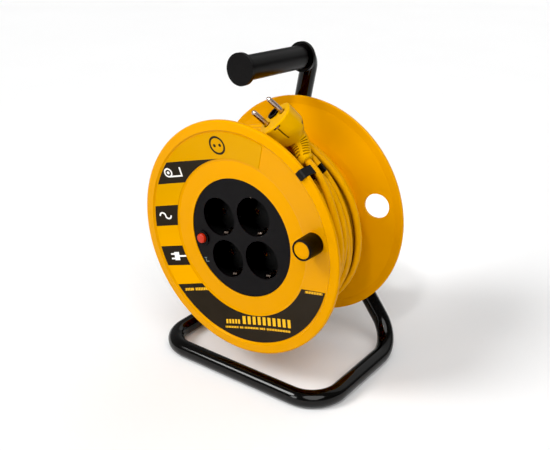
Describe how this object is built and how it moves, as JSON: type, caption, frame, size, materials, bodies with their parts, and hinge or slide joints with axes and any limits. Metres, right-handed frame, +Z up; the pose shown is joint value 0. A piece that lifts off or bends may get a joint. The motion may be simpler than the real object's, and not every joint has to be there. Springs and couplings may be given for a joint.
{
  "type": "extension cord reel",
  "caption": "Portable cable drum on a bent tube stand with a carrying grip, socket outlets in the front flange, a winding knob and a wound cord with a plug.",
  "frame": {"origin": "on the floor under the middle of the object", "axes": "+Z up; +Y to the rear, along the drum's axle from the sockets to the legs; +X to the right seen from the sockets"},
  "size_m": [0.24, 0.174, 0.3343],
  "materials": {
    "black_paint": "gloss",
    "grip": "matt",
    "steel": "zinc plated",
    "nylon": "satin",
    "yellow_plastic": "semi-gloss moulded",
    "black_plastic": "satin moulded",
    "brass": "bright",
    "nickel": "nickel plated",
    "brown_wire": "satin",
    "blue_wire": "satin",
    "green_wire": "satin",
    "cord": "satin",
    "plug_plastic": "satin",
    "red_plastic": "gloss",
    "label": "satin printed"
  },
  "bodies": {
    "stand": {"frame_tube": "black_paint", "leg_weld": "black_paint", "handle_grip": "grip", "axle_bracket": "black_paint", "axle_shaft": "steel", "axle_spacer": "nylon", "retaining_washer": "steel", "retaining_bolt": "steel"},
    "drum": {"front_flange": "yellow_plastic", "back_flange": "yellow_plastic", "hub_drum": "yellow_plastic", "flange_screws": "steel", "axle_bush": "nylon", "socket_panel": "black_plastic", "socket_inserts": "black_plastic", "contact_sleeves": "brass", "busbar_live": "brass", "busbar_neutral": "brass", "earth_clips": "nickel", "thermal_breaker": "black_plastic", "live_wires": "brown_wire", "neutral_wire": "blue_wire", "earth_wire": "green_wire", "cord_gland": "black_plastic", "inner_lead": "cord", "lead_clamp": "black_plastic", "knob_post": "yellow_plastic", "knob_screw": "steel", "flange_label": "label", "cable_clip": "black_plastic", "cord_coil": "cord", "cord_tail": "cord", "strain_relief": "plug_plastic", "plug_body": "plug_plastic", "plug_pins": "nickel", "plug_earth_strips": "nickel", "plug_earth_socket": "black_plastic"},
    "knob": {"knob_sleeve": "black_plastic"},
    "button": {"reset_button": "red_plastic"}
  },
  "joints": [
    {"name": "drum_spin", "type": "hinge", "parent": "stand", "child": "drum", "pos_m": [0, -0.0085, 0.157], "axis": [0, 1, 0], "continuous": true},
    {"name": "knob_spin", "type": "hinge", "parent": "drum", "child": "knob", "pos_m": [0.09092, -0.077, 0.17883], "axis": [0, 1, 0], "continuous": true},
    {"name": "reset_press", "type": "slide", "parent": "drum", "child": "button", "axis": [0, 1, 0], "range_m": [0, 0.002], "stiffness_N_per_m": 500}
  ]
}
